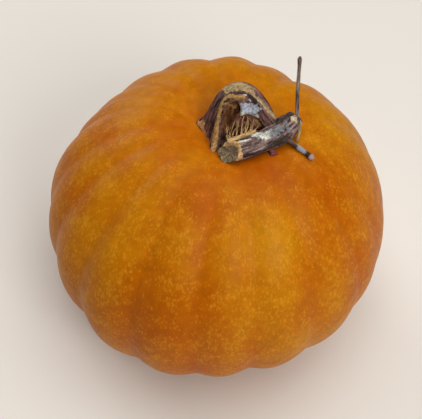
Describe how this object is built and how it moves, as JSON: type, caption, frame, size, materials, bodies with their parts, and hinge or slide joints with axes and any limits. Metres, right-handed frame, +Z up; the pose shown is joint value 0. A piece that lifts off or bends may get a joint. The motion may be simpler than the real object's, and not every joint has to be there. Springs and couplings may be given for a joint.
{
  "type": "pumpkin with dried stalk",
  "caption": "Small round orange pumpkin with shallow ribs, a dried ridged stalk and a cut stub of vine; rests on a flat ring round its blossom scar.",
  "frame": {"origin": "centre of the bounding box in plan, on the resting plane under the flat ring round the blossom scar", "axes": "+Z up from the blossom end to the stalk, -Y the side that faces the viewer, +X the side that the vine stub and its tendril point to"},
  "size_m": [0.18, 0.1794, 0.1681],
  "materials": {
    "skin": "satin waxy orange rind, speckled with lighter yellow-orange",
    "stalk": "dull dark brown dried stem tissue with tan torn edges",
    "vine": "dull purple-brown dried stem with grey-white patches",
    "shoot": "dull dark brown dried shoot",
    "strand": "dull pale straw",
    "fibre": "dull golden dry plant fibre"
  },
  "bodies": {
    "root": {"fruit": "skin", "stalk": "stalk", "vine_stub": "vine", "tendril": "shoot", "dry_strand": "strand", "leaf_stalk_stub": "shoot", "torn_fibres": "fibre"}
  },
  "joints": []
}
